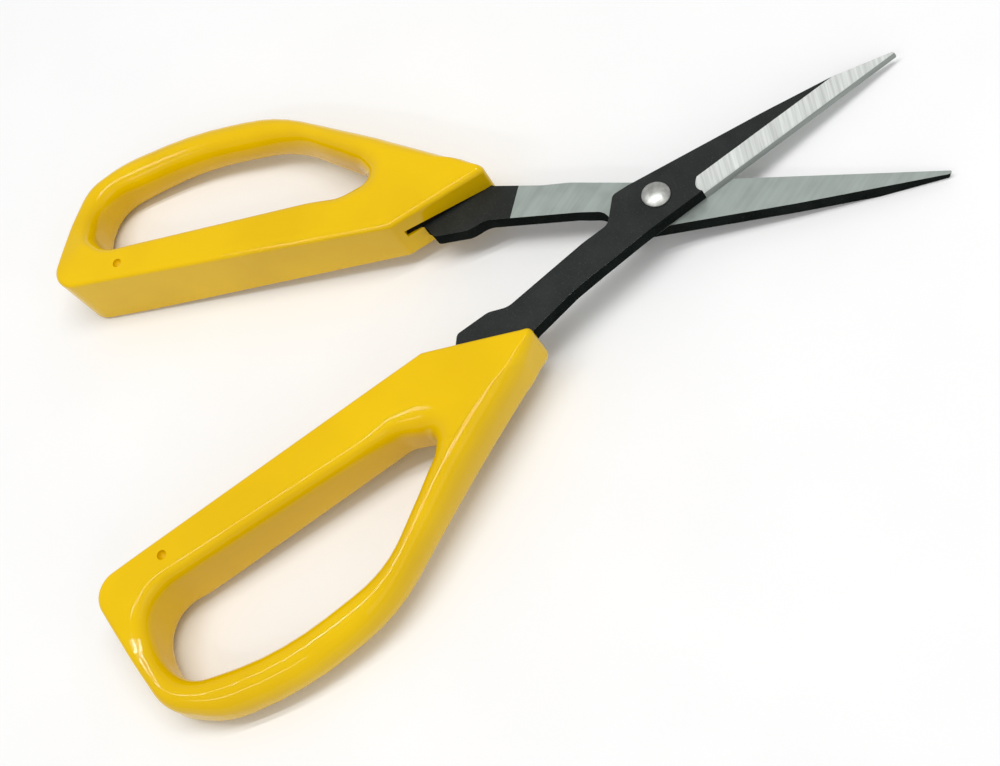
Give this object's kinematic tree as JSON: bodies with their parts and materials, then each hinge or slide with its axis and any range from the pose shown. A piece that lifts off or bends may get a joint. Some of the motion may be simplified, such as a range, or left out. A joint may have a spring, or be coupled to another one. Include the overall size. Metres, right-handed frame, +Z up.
{
  "type": "office scissors",
  "caption": "Riveted scissors with long looped handles, bent steel blades and bevelled cutting edges for cutting paper, string and stems.",
  "frame": {"origin": "on the table, under the middle of the bounding box, with the blades half open", "axes": "+Z up from the table, +X along the line between the blades towards the tips"},
  "size_m": [0.1686, 0.1274, 0.0149],
  "materials": {
    "black_steel": "black oxide, with ground bevels and inner faces",
    "handle_plastic": "gloss",
    "rivet_steel": "tumbled satin",
    "washer_steel": "satin"
  },
  "bodies": {
    "front": {"front_blade": "black_steel", "front_handle": "handle_plastic", "pivot_rivet": "rivet_steel", "rivet_washer": "washer_steel"},
    "rear": {"rear_blade": "black_steel", "rear_handle": "handle_plastic"}
  },
  "joints": [
    {"name": "pivot", "type": "hinge", "parent": "front", "child": "rear", "pos_m": [0.03461, 0, 0.00754], "axis": [0.1189, 0, 0.9929], "range_deg": [-95, 30.5]}
  ]
}
